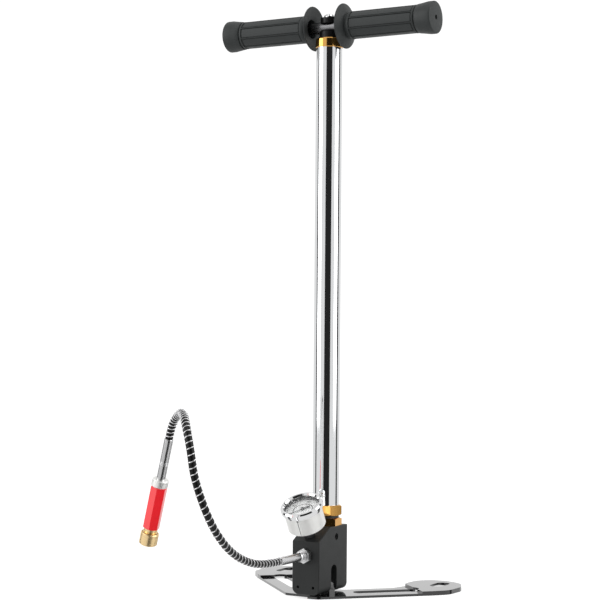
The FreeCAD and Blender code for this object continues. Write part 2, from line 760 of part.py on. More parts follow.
def foot_plate(name):
    """One stamped plate that opens towards +X: a slotted strip that runs back to a raised, rimmed pad."""
    front, reach, shift = (size(f"{name}_{part}") for part in ("front", "reach", "shift"))
    offset, pin_height = size("hinge_offset"), size("hinge_height")
    bank = 43
    near = [(0.8, 18), (0.8, -front)]
    corner = (math.sqrt(2) * (bank - shift) - front, -front)
    ends = strip_points([(107.4, bank), (107.4, -13)], reach, shift)
    inner = strip_points([(102, -9), (86, -1), (26, 0)], reach, shift)
    strip = rounded_plate(name + "_strip", [*near, corner, *ends, *inner], near + ends, 8, "plate_thick")
    step = strip_points([(106, -13), (106, bank)], reach, shift)
    pad = [(118, bank), (140, 41), (163, 22), (172, -1), (163, -22), (146, -33), (128, -32), (113, -21)]
    outline = step + strip_points(pad, reach, shift)
    tray = rounded_plate(name + "_tray", outline, step, 20, "pad_high")
    [(x, y)] = strip_points([(135, 3)], reach, shift)
    rim = 0.93
    inside = [(x + (p - x) * rim, y + (q - y) * rim) for p, q in outline]
    hollow = rounded_plate(name + "_hollow", inside, inside[:2], 18, "pad_high - plate_thick + 1")
    hollow.Placement = at(z=-1)
    lug_low = -size("slot_centre") - size("lug_width") / 2
    lug = box(name + "_lug", "2 * lug_radius", "lug_width", "hinge_height - 1",
              at(offset - size("lug_radius"), lug_low, 1))
    eye = cylinder(name + "_eye", "lug_radius", "lug_width",
                   along((0, 1, 0), (offset, lug_low, pin_height)))
    hole = cylinder(name + "_hole", "hinge_radius + fit_gap", "60",
                    along((0, 1, 0), (offset, -40, pin_height)))
    cutters = []
    for where, length, width, angle in (((70, 20), 80 * reach, 16, 45), ((144, 1.4), 34 * reach, 15, 90)):
        [(x, y)] = strip_points([where], reach, shift)
        turn = Placement(Vector(x, y, -2), Rotation(Vector(0, 0, 1), angle))
        cutters.append(obround(name + "_slot", length, width, 10, turn))
    solid = joined(name + "_solid", strip, cut(name + "_pad", tray, hollow), lug, eye)
    return cut(name + "_plate", solid, *cutters, hole)


def foot_plates():
    """The two plates. The left one is shaped like the right one, and reaches further back."""
    node("right_foot_plate", foot_plate("right"))
    left = doc.addObject("Part::Mirroring", "mirrored_plate")
    left.Source = foot_plate("left")
    left.Normal = (1, 0, 0)
    node("left_foot_plate", left)


def export():
    """Checks every object and shape, then writes one file per node."""
    doc.recompute()
    failed = [o.Label for o in doc.Objects if "Invalid" in o.State or "Error" in o.State]
    if failed:
        raise RuntimeError(f"objects failed: {failed}")
    for label, thing in NODES.items():
        shape = thing.Shape
        if shape.isNull() or not shape.isValid() or not shape.Solids:
            raise RuntimeError(f"{label} has no valid solid")
    os.makedirs("parts", exist_ok=True)
    for label, thing in NODES.items():
        thing.Shape.exportStep(f"parts/{label}.step")
        print(f"{label}: {len(thing.Shape.Solids)} solids, {thing.Shape.Volume / 1000:.2f} cm3")


valve_block()
block_fittings()
fixed_column()
sliding_tube()
handle()
gauge()
near_fitting()
far_fitting(hose())
foot_plates()
export()
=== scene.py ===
import json
import math

import bmesh
import bpy
import numpy as np
from mathutils import Matrix, Vector


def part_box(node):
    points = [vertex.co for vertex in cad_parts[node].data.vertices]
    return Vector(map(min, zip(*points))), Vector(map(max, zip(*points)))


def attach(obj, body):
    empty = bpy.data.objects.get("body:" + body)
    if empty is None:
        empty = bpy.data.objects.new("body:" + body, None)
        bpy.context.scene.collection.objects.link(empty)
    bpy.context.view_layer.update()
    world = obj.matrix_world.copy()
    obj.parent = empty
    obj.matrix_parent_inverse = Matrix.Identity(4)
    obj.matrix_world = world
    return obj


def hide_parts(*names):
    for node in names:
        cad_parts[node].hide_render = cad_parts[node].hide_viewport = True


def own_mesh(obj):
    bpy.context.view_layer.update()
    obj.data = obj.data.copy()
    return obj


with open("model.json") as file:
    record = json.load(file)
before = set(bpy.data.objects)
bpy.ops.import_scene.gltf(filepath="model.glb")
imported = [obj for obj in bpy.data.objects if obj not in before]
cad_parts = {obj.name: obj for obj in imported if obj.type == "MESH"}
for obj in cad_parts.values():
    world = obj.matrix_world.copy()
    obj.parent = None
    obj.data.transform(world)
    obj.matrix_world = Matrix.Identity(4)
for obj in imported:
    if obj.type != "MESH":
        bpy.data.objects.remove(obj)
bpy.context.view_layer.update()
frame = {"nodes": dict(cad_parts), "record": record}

# Looks for a hand-worked stirrup pump. Metres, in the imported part's own frame: the column stands on the
# origin, +Z up, the handle along X, the gauge and the hose towards -Y.

MM = 0.001
NODES = frame["nodes"]


# ---------------------------------------------------------------- camera

VIEW_AZIMUTH = math.radians(29.7)   # the camera stands to the right of the gauge's side
VIEW_DISTANCE = 1.741               # from the column, measured level
VIEW_HEIGHT = 0.27375
VIEW_SHIFT = -0.0291                # the camera's own place to the left of the line to the column
VIEW_PITCH = math.radians(1.248)    # looking up
VIEW_ROLL = math.radians(0.478)
LENS, SENSOR_WIDTH = 98.0, 36

TO_CAMERA = Vector((math.sin(VIEW_AZIMUTH), -math.cos(VIEW_AZIMUTH), 0))
RIGHT = Vector((math.cos(VIEW_AZIMUTH), math.sin(VIEW_AZIMUTH), 0))


def add_camera():
    """The photograph's camera: beside the column, nearly level, tipped slightly up and rolled."""
    data = bpy.data.cameras.new("camera")
    data.lens = LENS
    data.sensor_width = SENSOR_WIDTH
    data.clip_start, data.clip_end = 0.05, 20
    camera = bpy.data.objects.new("camera", data)
    bpy.context.scene.collection.objects.link(camera)
    forward = -TO_CAMERA * math.cos(VIEW_PITCH) + Vector((0, 0, math.sin(VIEW_PITCH)))
    level_up = RIGHT.cross(forward)
    right = RIGHT * math.cos(VIEW_ROLL) + level_up * math.sin(VIEW_ROLL)
    up = right.cross(forward)
    turn = Matrix((right, up, -forward)).transposed()
    place = TO_CAMERA * VIEW_DISTANCE + RIGHT * VIEW_SHIFT + Vector((0, 0, VIEW_HEIGHT))
    camera.matrix_world = Matrix.Translation(place) @ turn.to_4x4()
    bpy.context.scene.camera = camera


add_camera()


# ---------------------------------------------------------------- materials

NOISE_SPAN = (0.3, 0.7)


def shader(name, color, metallic, roughness, **sockets):
    """A material with a Principled shader. Gives the material, its node tree and the shader."""
    material = bpy.data.materials.new(name)
    material.use_nodes = True
    principled = material.node_tree.nodes["Principled BSDF"]
    principled.inputs["Base Color"].default_value = (*color, 1)
    principled.inputs["Metallic"].default_value = metallic
    principled.inputs["Roughness"].default_value = roughness
    for socket, value in sockets.items():
        principled.inputs[socket.replace("_", " ")].default_value = value
    return material, material.node_tree, principled


def add(tree, kind, **values):
    """One node, with its settings and the values of its sockets."""
    made = tree.nodes.new(kind)
    for name, value in values.items():
        if hasattr(made, name):
            setattr(made, name, value)
        else:
            made.inputs[name.replace("_", " ")].default_value = value
    return made


def coordinates(tree, scale=(1, 1, 1)):
    """The object's own coordinates, stretched along its axes."""
    place = add(tree, "ShaderNodeTexCoord")
    mapping = add(tree, "ShaderNodeMapping", Scale=scale)
    tree.links.new(place.outputs["Object"], mapping.inputs["Vector"])
    return mapping.outputs["Vector"]


def noise(tree, vector, scale, detail, roughness):
    """A cloudy texture's value, from 0 to 1, mostly inside NOISE_SPAN."""
    texture = add(tree, "ShaderNodeTexNoise", Scale=scale, Detail=detail, Roughness=roughness)
    tree.links.new(vector, texture.inputs["Vector"])
    return texture.outputs["Fac"]


def ranged(tree, value, low, high):
    """Stretches a noise texture's value between two limits."""
    start, end = NOISE_SPAN
    ramp = add(tree, "ShaderNodeMapRange")
    for name, number in (("From Min", start), ("From Max", end), ("To Min", low), ("To Max", high)):
        ramp.inputs[name].default_value = number
    tree.links.new(value, ramp.inputs["Value"])
    return ramp.outputs["Result"]


def bumped(tree, principled, height, strength, distance):
    """Raises the surface by a texture's value, in the shading only."""
    bump = add(tree, "ShaderNodeBump", Strength=strength, Distance=distance)
    tree.links.new(height, bump.inputs["Height"])
    tree.links.new(bump.outputs["Normal"], principled.inputs["Normal"])


def tinted(tree, principled, value, dark, light):
    """Colours the surface between two tones by a texture's value."""
    mix = add(tree, "ShaderNodeMix", data_type="RGBA")
    colors = [s for s in mix.inputs if s.type == "RGBA"]
    colors[0].default_value = (*dark, 1)
    colors[1].default_value = (*light, 1)
    tree.links.new(value, mix.inputs["Factor"])
    output = next(s for s in mix.outputs if s.type == "RGBA")
    tree.links.new(output, principled.inputs["Base Color"])


def polished_metal(name, color, roughness, lines, depth):
    """Metal with a faint grain, drawn out into polishing lines where lines is small along an axis."""
    material, tree, principled = shader(name, color, 1.0, roughness)
    grain = noise(tree, coordinates(tree, lines), 900, 4, 0.6)
    tree.links.new(ranged(tree, grain, roughness * 0.7, roughness * 1.5), principled.inputs["Roughness"])
    bumped(tree, principled, grain, depth, 0.0002)
    return material


def painted(name, color, roughness, grain_size, depth, mottle, coat=0.0, **sockets):
    """Paint, anodising or moulded plastic: a fine grain in the surface and a slight change of tone."""
    material, tree, principled = shader(name, color, 0.0, roughness, **sockets)
    principled.inputs["Coat Weight"].default_value = coat
    vector = coordinates(tree)
    grain = noise(tree, vector, 1 / grain_size, 2, 0.55)
    cloud = noise(tree, vector, 60, 3, 0.5)
    tinted(tree, principled, ranged(tree, cloud, 0, 1), [c * (1 - mottle) for c in color],
           [c * (1 + mottle) for c in color])
    tree.links.new(ranged(tree, cloud, roughness * 0.88, roughness * 1.12), principled.inputs["Roughness"])
    bumped(tree, principled, grain, depth, 0.0003)
    return material


def clear_glass():
    """The lens's glass. It is mostly see-through, so that the dial behind it stays light."""
    material, _, _ = shader("lens_glass", (0.97, 0.98, 0.98), 0.0, 0.015, Transmission_Weight=1.0,
                            IOR=1.47, Alpha=0.12)
    return material


TUBE = polished_metal("tube_chrome", (0.86, 0.87, 0.88), 0.05, (1, 1, 0.02), 0.01)
CHROME = polished_metal("bright_chrome", (0.88, 0.885, 0.89), 0.07, (1, 1, 1), 0.01)
SATIN = polished_metal("satin_steel", (0.66, 0.665, 0.67), 0.27, (0.05, 1, 1), 0.08)
CASE = polished_metal("case_steel", (0.97, 0.97, 0.95), 0.42, (1, 1, 1), 0.02)
DARK_STEEL = polished_metal("dark_steel", (0.12, 0.12, 0.125), 0.35, (1, 1, 1), 0.08)
SLEEVE = polished_metal("sleeve_steel", (0.82, 0.82, 0.83), 0.22, (1, 1, 1), 0.15)
# A darker copy of the sleeve steel for the far sleeve: painted shade, so that it reads darker than the near
# sleeve.
SHADED_SLEEVE = polished_metal("shaded_sleeve_steel", (0.6, 0.6, 0.605), 0.2, (1, 1, 1), 0.06)
BAR = polished_metal("bar_steel", (0.17, 0.17, 0.175), 0.24, (0.04, 1, 1), 0.05)
WALL = polished_metal("dial_wall", (0.16, 0.16, 0.165), 0.4, (1, 1, 1), 0.05)
WIRE = polished_metal("guard_wire", (0.9, 0.9, 0.91), 0.38, (1, 1, 1), 0.03)
SPRING = polished_metal("spring_steel", (0.5, 0.5, 0.52), 0.25, (1, 1, 1), 0.03)
BRASS = polished_metal("gold_brass", (0.84, 0.45, 0.12), 0.1, (1, 1, 1), 0.03)
PALE_BRASS = polished_metal("coupler_brass", (1.0, 0.75, 0.4), 0.3, (1, 1, 1), 0.02)
BLOCK = painted("block_black", (0.016, 0.0175, 0.0175), 0.42, 0.0004, 0.12, mottle=0.1,
                Specular_IOR_Level=0.3)
GLOSS = painted("gloss_black", (0.008, 0.008, 0.0085), 0.1, 0.0016, 0.03, coat=1.0, mottle=0.1)
GRIP = painted("grip_rubber", (0.03, 0.0335, 0.0335), 0.5, 0.00035, 0.2, mottle=0.12,
               Specular_IOR_Level=0.3)
SADDLE = painted("saddle_plastic", (0.005, 0.005, 0.0055), 0.35, 0.0005, 0.1, mottle=0.1,
                 Specular_IOR_Level=0.25)
SEAL = painted("seal_rubber", (0.012, 0.012, 0.012), 0.5, 0.0005, 0.1, mottle=0.1)
HOSE = painted("hose_rubber", (0.004, 0.004, 0.004), 0.35, 0.0006, 0.25, mottle=0.2,
               Specular_IOR_Level=0.25)
BUSH = painted("bush_plastic", (0.8, 0.79, 0.75), 0.45, 0.0005, 0.05, mottle=0.03)
FELT = painted("filter_felt", (0.7, 0.68, 0.62), 0.9, 0.0006, 0.5, mottle=0.1)
RED = painted("red_anodised", (0.93, 0.018, 0.028), 0.3, 0.0004, 0.04, coat=1.0, mottle=0.06, Coat_IOR=1.9,
              Specular_IOR_Level=0.1)
DIAL = painted("dial_white", (0.84, 0.85, 0.845), 0.5, 0.0004, 0.02, mottle=0.03)
INK = painted("dial_ink", (0.02, 0.02, 0.022), 0.5, 0.0004, 0.02, mottle=0.05)
GLASS = clear_glass()

SLOT_LOOKS = {
    "black_block": BLOCK, "dark_steel": DARK_STEEL, "satin_steel": SATIN, "spring_steel": SPRING,
    "sleeve_steel": SLEEVE, "gold_brass": BRASS, "tube_chrome": TUBE, "bright_chrome": CHROME,
    "seal_rubber": SEAL, "bush_plastic": BUSH, "saddle_plastic": SADDLE, "grip_rubber": GRIP,
    "dial_white": DIAL, "needle_black": INK, "lens_glass": GLASS, "hose_rubber": HOSE,
    "red_anodised": RED, "filter_felt": FELT, "gloss_black": GLOSS,
}
# The far sleeve takes the darker copy of the sleeve steel, which is painted shade.
NODE_LOOKS = {
    "gauge_case": CASE, "far_collar": CASE, "handle_bar": BAR, "far_sleeve": SHADED_SLEEVE,
    "coupler_sleeve": PALE_BRASS, "coupler_body": PALE_BRASS,
}


def dress_nodes():
    """Gives every CAD node the look of its slot in the record, or its own."""
    for entry in frame["record"]["subparts"]:
        looks = NODE_LOOKS.get(entry["node"], SLOT_LOOKS[entry["material_slot"]])
        for material_slot in NODES[entry["node"]].material_slots:
            material_slot.material = looks


dress_nodes()


# ---------------------------------------------------------------- mesh helpers

WIRE_SIDES = 8      # points round a wire
RING_STEPS = 64     # sections round a ring
ROUND_SMOOTH = 60   # degrees: edges flatter than this shade smooth on a wire


def mesh_object(name, vertices, faces, material, smooth=40):
    """A mesh piece with its faces outwards, shaded smooth up to an angle in degrees."""
    mesh = bpy.data.meshes.new(name)
    mesh.from_pydata([tuple(v) for v in vertices], [], faces)
    shell = bmesh.new()
    shell.from_mesh(mesh)
    bmesh.ops.recalc_face_normals(shell, faces=shell.faces)
    shell.to_mesh(mesh)
    shell.free()
    mesh.shade_smooth()
    mesh.set_sharp_from_angle(angle=math.radians(smooth))
    mesh.materials.append(material)
    piece = bpy.data.objects.new(name, mesh)
    bpy.context.scene.collection.objects.link(piece)
    return piece


def grid_faces(rows, columns, first=0):
    """Quads between rows of a grid that closes on itself across the columns."""
    faces = []
    for i in range(rows - 1):
        for j in range(columns):
            k = (j + 1) % columns
            faces.append((first + i * columns + j, first + i * columns + k,
                          first + (i + 1) * columns + k, first + (i + 1) * columns + j))
    return faces


def bar_piece(name, rings, material, smooth, closed=False):
    """A piece through rings of points, capped at its ends, or joined end to end where it is closed."""
    rows, columns = len(rings), len(rings[0])
    faces = grid_faces(rows, columns)
    last = (rows - 1) * columns
    if closed:
        faces += [(last + j, last + (j + 1) % columns, (j + 1) % columns, j) for j in range(columns)]
    else:
        faces += [tuple(range(columns)), tuple(range(last, last + columns))]
    return mesh_object(name, [p for ring in rings for p in ring], faces, material, smooth)


def wire_ring(name, centre, axis, radius, wire, material):
    """A round wire bent into a ring about an axis."""
    turn = Vector(axis).to_track_quat("Z", "X")
    rings = []
    for i in range(RING_STEPS):
        ring_angle = 2 * math.pi * i / RING_STEPS
        out = Vector((math.cos(ring_angle), math.sin(ring_angle), 0))
        section = []
        for k in range(WIRE_SIDES):
            wire_angle = 2 * math.pi * k / WIRE_SIDES
            over = Vector((0, 0, wire * math.sin(wire_angle)))
            section.append(out * (radius + wire * math.cos(wire_angle)) + over)
        rings.append([Vector(centre) + turn @ p for p in section])
    return bar_piece(name, rings, material, ROUND_SMOOTH, closed=True)


# ---------------------------------------------------------------- hose

# The same points as the hose's route in the part, from the near sleeve to the far sleeve.
HOSE_ROUTE = [
    (0, -0.097, 0.045),
    (0, -0.125, 0.045),
    (0, -0.158, 0.051),
    (0.002, -0.191, 0.064),
    (0.004, -0.220, 0.084),
    (0.004, -0.242, 0.110),
    (0, -0.255, 0.142),
    (0.002, -0.2635, 0.166),
    (-0.007, -0.258, 0.189),
    (-0.026, -0.235, 0.201),
    (-0.0405, -0.223, 0.1965),
    (-0.0507, -0.2173, 0.1865),
    (-0.055, -0.2155, 0.173),
]
HOSE_RADIUS = 3.7 * MM
WIRE_RADIUS = 0.5 * MM
# The guard's pitch at places along the hose, as shares of its length.
PITCHES = [(0, 5.2 * MM), (0.15, 6.2 * MM), (0.35, 7 * MM), (0.6, 7 * MM), (0.7, 5.4 * MM), (0.78, 4.4 * MM),
           (1, 4.2 * MM)]
TURN_STEPS = 20         # points in one turn of the guard
GUARD_SAMPLES = 4000    # places along the hose where its turns are counted
GUARD_STANDOFF = 0.3    # from the hose's surface to the wire's middle, as a share of the wire's radius

# The coupler's spring. Its start is a distance along the fitting, from the hose's end.
COIL_START = 99.1 * MM
COIL_RADIUS, COIL_LENGTH, COIL_TURNS, COIL_STEPS = 6.9 * MM, 3.2 * MM, 2.5, 80
COIL_WIRE = 0.25 * MM

# The rings on each sleeve: how many, then in millimetres the first one's place along the sleeve's line, the
# step to the next, the ring's radius and its wire's radius. The near places are along Y from the column.
NEAR_RINGS = (4, -50, -2, 4.8, 0.35)
FAR_RINGS = (3, 24, 1.4, 4.35, 0.22)
NEAR_SLEEVE_HEIGHT = 45


def hose_curve(name, bevel):
    """The hose's line as one smooth curve, with or without thickness."""
    data = bpy.data.curves.new(name, "CURVE")
    data.dimensions = "3D"
    data.resolution_u = 24
    spline = data.splines.new("NURBS")
    spline.points.add(len(HOSE_ROUTE) - 1)
    for point, place in zip(spline.points, HOSE_ROUTE):
        point.co = (*place, 1)
    spline.order_u = 3
    spline.use_endpoint_u = True
    data.bevel_depth = bevel
    data.bevel_resolution = 10
    data.use_fill_caps = bevel > 0
    curve = bpy.data.objects.new(name, data)
    bpy.context.scene.collection.objects.link(curve)
    return curve


def line_points(curve):
    """Points on a curve that has no thickness."""
    bpy.context.view_layer.update()
    mesh = bpy.data.meshes.new_from_object(curve)
    points = np.array([v.co[:] for v in mesh.vertices])
    bpy.data.meshes.remove(mesh)
    return points


def length_along(points):
    """The length from the line's start to each of its points."""
    steps = np.linalg.norm(np.diff(points, axis=0), axis=1)
    return np.concatenate([[0], np.cumsum(steps)])


def carried_frames(points):
    """Tangents and two side directions at each point, carried along the line without twist."""
    tangents = np.gradient(points, axis=0)
    tangents /= np.linalg.norm(tangents, axis=1)[:, None]
    side = np.cross(tangents[0], (0, 0, 1))
    sides = []
    for tangent in tangents:
        side = side - tangent * (side @ tangent)
        side /= np.linalg.norm(side)
        sides.append(side)
    sides = np.array(sides)
    return tangents, sides, np.cross(tangents, sides)


def tube_mesh(name, points, radius, material):
    """A round wire along a line of points, closed at its ends."""
    _, first, second = carried_frames(points)
    angles = 2 * np.pi * np.arange(WIRE_SIDES) / WIRE_SIDES
    rings = [[p + radius * (np.cos(a) * u + np.sin(a) * v) for a in angles]
             for p, u, v in zip(points, first, second)]
    return bar_piece(name, rings, material, ROUND_SMOOTH)


def guard_line(points):
    """The helix that the steel guard's wire takes round the hose."""
    along = length_along(points)
    total = along[-1]
    _, first, second = carried_frames(points)
    fine = np.linspace(0, total, GUARD_SAMPLES)
    pitch = np.interp(fine / total, [p[0] for p in PITCHES], [p[1] for p in PITCHES])
    turns = np.concatenate([[0], np.cumsum(np.diff(fine) / pitch[1:])])
    count = int(turns[-1] * TURN_STEPS)
    phase = np.linspace(0, turns[-1], count)
    where = np.interp(phase, turns, fine)
    reach = HOSE_RADIUS + GUARD_STANDOFF * WIRE_RADIUS
    centre, across, over = (
        np.stack([np.interp(where, along, field[:, i]) for i in range(3)], axis=1)
        for field in (points, first, second)
    )
    angle = 2 * np.pi * phase
    return centre + reach * (np.cos(angle)[:, None] * across + np.sin(angle)[:, None] * over)


def far_axis():
    """Where the hose ends, and the direction in which the fitting hangs from it."""
    end = Vector(HOSE_ROUTE[-1])
    return end, (end - Vector(HOSE_ROUTE[-2])).normalized()


def coupler_coil():
    """The small spring behind the coupler's sleeve."""
    end, axis = far_axis()
    base = end + axis * COIL_START
    turn = axis.to_track_quat("Z", "X")
    points = []
    for i in range(COIL_STEPS + 1):
        share = i / COIL_STEPS
        angle = 2 * math.pi * COIL_TURNS * share
        points.append(base + turn @ Vector((COIL_RADIUS * math.cos(angle), COIL_RADIUS * math.sin(angle),
                                            COIL_LENGTH * share)))
    coil = tube_mesh("coupler_coil", np.array(points), COIL_WIRE, SPRING)
    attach(coil, "base")
    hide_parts("coupler_spring")
    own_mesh(coil)
    return coil


def crimp_rings():
    """The fine rings rolled into the two sleeves."""
    made = []
    count, start, step, radius, wire = NEAR_RINGS
    for i in range(count):
        place = (0, (start + step * i) * MM, NEAR_SLEEVE_HEIGHT * MM)
        made.append(wire_ring(f"near_ring_{i}", place, (0, 1, 0), radius * MM, wire * MM, WIRE))
    end, axis = far_axis()
    count, start, step, radius, wire = FAR_RINGS
    for i in range(count):
        place = end + axis * (start + step * i) * MM
        made.append(wire_ring(f"far_ring_{i}", place, axis, radius * MM, wire * MM, WIRE))
    for ring in made:
        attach(ring, "base")
    return made


def add_hose():
    """The hose's tube, its guard, and the fittings that it carries."""
    line = hose_curve("hose_line", 0)
    points = line_points(line)
    bpy.data.objects.remove(line)
    hose = hose_curve("hose_tube", HOSE_RADIUS)
    hose.data.materials.append(HOSE)
    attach(hose, "base")
    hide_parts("hose")
    guard = tube_mesh("hose_guard", guard_line(points), WIRE_RADIUS, WIRE)
    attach(guard, "base")
    fittings = [guard, coupler_coil(), *crimp_rings()] + [NODES[n] for n in (
        "near_sleeve", "far_sleeve", "far_collar", "filter_barrel", "filter_element", "coupler_body",
        "coupler_seal", "coupler_balls", "coupler_sleeve")]


add_hose()


# ---------------------------------------------------------------- grips

GRIP_START = 18 * MM
BAR_HEIGHT = (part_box("handle_bar")[0][2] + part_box("handle_bar")[1][2]) / 2

# The grip's outline, in millimetres: radius, distance from the flange's rim, and the depth it takes from
# PANEL_STEPS. It starts inside the bore's end and finishes inside the hole in the knob's end.
PLAIN, PANEL, PANEL_END = 0, 1, 2
GRIP_OUTLINE = [
    (6.6, 101.9, PLAIN), (6.6, 12, PLAIN), (10.2, 12, PLAIN), (10.2, 3.4, PLAIN), (10.5, 3.1, PLAIN),
    (16.5, 1.7, PLAIN), (22.5, 0.2, PLAIN), (23.2, 0, PLAIN), (23.8, 0.3, PLAIN), (24, 0.75, PLAIN),
    (23.75, 1.35, PLAIN), (20.8, 2.7, PLAIN), (17.8, 4.15, PLAIN), (14.9, 5.2, PLAIN), (12.95, 5.9, PLAIN),
    (12.8, 6.15, PLAIN), (13.2, 6.5, PLAIN), (13.8, 7, PLAIN), (14.3, 8, PLAIN), (14.6, 9.2, PLAIN),
    (14.8, 10.6, PLAIN), (14.8, 11.6, PLAIN), (14.8, 11.8, PANEL_END), (14.8, 12.7, PANEL_END),
    (14.8, 12.9, PANEL), (14.8, 83.9, PANEL), (14.8, 84.1, PANEL_END), (14.8, 85, PANEL_END),
    (14.8, 85.2, PLAIN), (14.8, 86.8, PLAIN), (14.6, 87.1, PLAIN), (13.7, 87.2, PLAIN), (13.7, 88.4, PLAIN),
    (14.9, 88.5, PLAIN), (15.2, 88.9, PLAIN), (15.7, 93, PLAIN), (16.5, 98, PLAIN), (16.95, 101, PLAIN),
    (17, 104, PLAIN), (17, 106.1, PLAIN), (16.85, 106.8, PLAIN), (16.4, 107.3, PLAIN), (15.5, 107.6, PLAIN),
    (2.8, 107.6, PLAIN), (2.5, 107.3, PLAIN), (2.5, 102.4, PLAIN),
]
PANELS = 8
GRIP_SMOOTH = 35    # degrees
# Across one panel: the angle from its middle, the surface's depth there, and its depth at the panel's ends.
# A rib stands between two panels, with a groove on each side of it.
PANEL_STEPS = [
    (-22.5, 0, 0), (-21, 0, 0), (-20.6, 1.2, 1.2), (-17.6, 1.2, 1.2), (-17.2, 0.4, 1.2), (-8.6, 0.6, 1.2),
    (0, 0.66, 1.2), (8.6, 0.6, 1.2), (17.2, 0.4, 1.2), (17.6, 1.2, 1.2), (20.6, 1.2, 1.2), (21, 0, 0),
]


def add_grip(node, side):
    """A moulded grip: a dished flange, eight long flat panels between ribs, a groove and a flared knob."""
    start = Vector((side * GRIP_START, 0, BAR_HEIGHT))
    rings = []
    for radius, along, kind in GRIP_OUTLINE:
        ring = []
        for panel in range(PANELS):
            for step, *depths in PANEL_STEPS:
                angle = math.radians(360 / PANELS * panel + step)
                reach = (radius - (0, *depths)[kind]) * MM
                across = Vector((side * along * MM, -reach * math.cos(angle), reach * math.sin(angle)))
                ring.append(start + across)
        rings.append(ring)
    grip = bar_piece(node + "_moulded", rings, GRIP, GRIP_SMOOTH)
    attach(grip, "handle")
    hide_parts(node)


add_grip("left_grip", -1)
add_grip("right_grip", 1)


# ---------------------------------------------------------------- gauge

GAUGE_FOOT = Vector((0, -33.47, 64.7)) * MM
GAUGE_AXIS = Vector((0, -0.4848, 0.8746))
GAUGE_UP = Vector((0, 0.8746, 0.4848))
DIAL_TOP = 32.6                     # millimetres from the gauge's foot, along its axis
DIAL_ANGLES = (225, -45)            # where the scale starts and ends
DIAL_NUMBERS = ("0", "10", "20", "30", "40")
SEAM_ANGLE = -81                    # degrees round the gauge's axis
GAUGE_SMOOTH = 30                   # degrees

# The dial's print, in millimetres from its middle. Every fifth tick is long and wide.
PRINT_THICKNESS = 0.06
ARC_INNER, ARC_OUTER, ARC_STEPS = 9.9, 10.9, 60
TICKS, LONG_TICK_EVERY, TICK_OUTER = 40, 5, 17.8
LONG_TICK = (16.1, 1.2)             # where it starts, and half its width in degrees
SHORT_TICK = (16.9, 0.6)
NUMBER_SIZE, NUMBER_EXTRUDE, NUMBER_RADIUS = 4.8, 0.03, 13.7

# The ribbed ring: its sections, the radius on a rib, between ribs and outside, and its height along the axis.
WALL_SECTIONS, WALL_RIB, WALL_GAP, WALL_OUTER, WALL_TOP = 240, 18.15, 18.5, 18.72, 36.4
WALL_CLEARANCE = 0.1
# The seam from bottom to top: the height, and half its width in degrees. Its plug is the wide stretch.
SEAM_OUTLINE = ((13.6, 0.8), (30, 0.8), (30.3, 2.4), (31, 2.9), (31.7, 2.4), (32, 0.8))
SEAM_INNER, SEAM_OUTER = 19.9, 20.05


def on_gauge(x, y, height):
    """A point in the gauge's own millimetres: across, up the dial, and along the axis."""
    return GAUGE_FOOT + (Vector((x, 0, 0)) + GAUGE_UP * y + GAUGE_AXIS * height) * MM


def polar(radius, angle, height):
    """The same, from a radius and an angle in degrees."""
    return on_gauge(radius * math.cos(math.radians(angle)), radius * math.sin(math.radians(angle)), height)


def print_patch(inner, outer, start, end, steps):
    """A thin raised patch of the dial's print: rings of four points from one angle to another."""
    low, high = DIAL_TOP, DIAL_TOP + PRINT_THICKNESS
    rings = []
    for i in range(steps + 1):
        angle = start + (end - start) * i / steps
        rings.append([polar(inner, angle, low), polar(outer, angle, low), polar(outer, angle, high),
                      polar(inner, angle, high)])
    return rings


def number_patch(text, angle):
    """A number of the scale as a flat mesh in its place on the dial."""
    data = bpy.data.curves.new("number", "FONT")
    data.body = text
    data.size = NUMBER_SIZE * MM
    data.extrude = NUMBER_EXTRUDE * MM
    data.align_x, data.align_y = "CENTER", "CENTER"
    letter = bpy.data.objects.new("number", data)
    bpy.context.scene.collection.objects.link(letter)
    bpy.context.view_layer.update()
    mesh = bpy.data.meshes.new_from_object(letter)
    bpy.data.objects.remove(letter)
    turn = Matrix((Vector((1, 0, 0)), GAUGE_UP, GAUGE_AXIS)).transposed().to_4x4()
    place = polar(NUMBER_RADIUS, angle, DIAL_TOP + NUMBER_EXTRUDE)
    mesh.transform(Matrix.Translation(place) @ turn)
    return mesh


def add_dial_print():
    """The scale's arc, ticks and numbers, as one piece on the dial."""
    start, end = DIAL_ANGLES
    patches = [print_patch(ARC_INNER, ARC_OUTER, start, end, ARC_STEPS)]
    for i in range(TICKS + 1):
        angle = start + (end - start) * i / TICKS
        inner, half = LONG_TICK if i % LONG_TICK_EVERY == 0 else SHORT_TICK
        patches.append(print_patch(inner, TICK_OUTER, angle - half, angle + half, 1))
    vertices, faces = [], []
    for rings in patches:
        first = len(vertices)
        faces += grid_faces(len(rings), 4, first)
        last = first + 4 * (len(rings) - 1)
        faces += [tuple(range(first, first + 4)), tuple(range(last, last + 4))]
        vertices += [p for ring in rings for p in ring]
    for i, text in enumerate(DIAL_NUMBERS):
        mesh = number_patch(text, start + (end - start) * i / (len(DIAL_NUMBERS) - 1))
        first = len(vertices)
        vertices += [v.co.copy() for v in mesh.vertices]
        faces += [tuple(first + k for k in face.vertices) for face in mesh.polygons]
        bpy.data.meshes.remove(mesh)
    scale = mesh_object("dial_print", vertices, faces, INK)
    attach(scale, "base")


def add_dial_wall():
    """The ribbed ring inside the case, between the dial and the lens."""
    rings = []
    low = DIAL_TOP + WALL_CLEARANCE
    for i in range(WALL_SECTIONS):
        angle = 360 * i / WALL_SECTIONS
        inner = WALL_RIB if i % 4 < 2 else WALL_GAP
        rings.append([polar(inner, angle, low), polar(WALL_OUTER, angle, low),
                      polar(WALL_OUTER, angle, WALL_TOP), polar(inner, angle, WALL_TOP)])
    wall = bar_piece("dial_wall", rings, WALL, GAUGE_SMOOTH, closed=True)
    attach(wall, "base")


